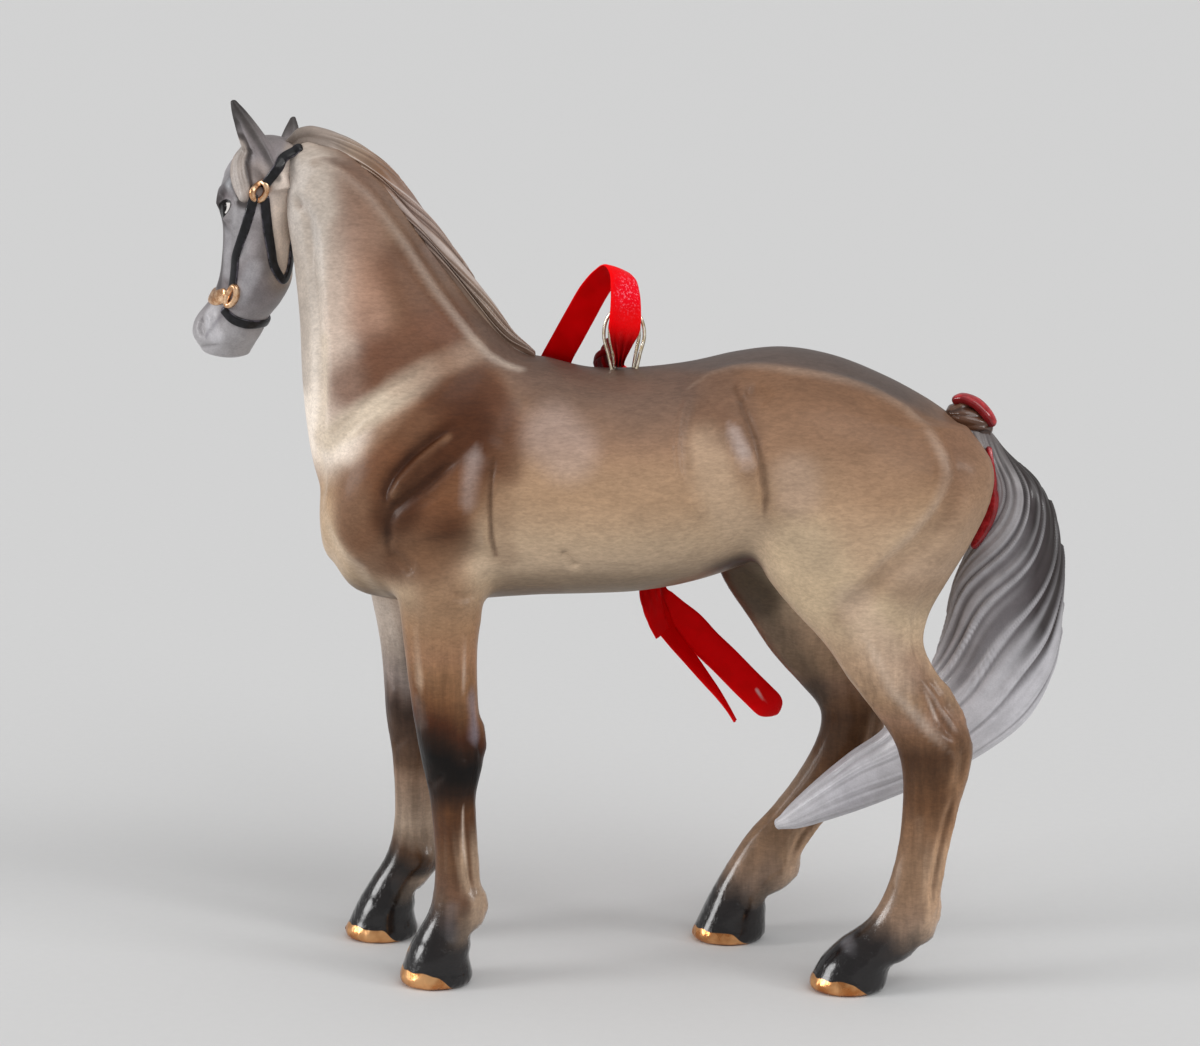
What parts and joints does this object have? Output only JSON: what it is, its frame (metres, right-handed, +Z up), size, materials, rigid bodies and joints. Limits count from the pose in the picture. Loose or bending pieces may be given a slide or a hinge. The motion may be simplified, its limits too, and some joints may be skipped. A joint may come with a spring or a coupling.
{
  "type": "porcelain pony ornament",
  "caption": "Glazed porcelain pony standing square, with a halter in relief, an arched tail and a wire eye in its back that holds a satin ribbon loop.",
  "frame": {"origin": "on the surface that the hooves stand on, below the middle of the figure", "axes": "-X towards the head, +X towards the tail, -Y towards the near side, +Y towards the off side, +Z up"},
  "size_m": [0.0882, 0.0265, 0.0876],
  "materials": {
    "coat": "glossy glaze over an airbrushed brown coat",
    "face": "glossy glaze over an airbrushed grey face",
    "mane": "glossy glaze, carved strands",
    "tail": "glossy glaze, carved strands that fade to white",
    "red_glaze": "glossy red glaze",
    "strap": "glossy black glaze",
    "lustre": "metallic gold lustre on the glaze",
    "wire": "bright drawn wire",
    "cement": "matt setting cement",
    "satin": "satin ribbon"
  },
  "bodies": {
    "root": {"torso": "coat", "neck": "coat", "near_foreleg": "coat", "off_foreleg": "coat", "near_hind_leg": "coat", "off_hind_leg": "coat", "head": "face", "near_ear": "face", "off_ear": "face", "forelock": "face", "mane": "mane", "tail": "tail", "tail_knot": "mane", "tail_knot_band": "red_glaze", "tail_streamer": "red_glaze", "crown_strap": "strap", "throat_strap": "strap", "near_cheek_strap": "strap", "off_cheek_strap": "strap", "chin_strap": "strap", "noseband": "lustre", "near_upper_ring": "lustre", "off_upper_ring": "lustre", "near_lower_ring": "lustre", "off_lower_ring": "lustre", "hanger_wire": "wire", "hanger_cement": "cement", "ribbon": "satin", "ribbon_knot": "satin"}
  },
  "joints": []
}
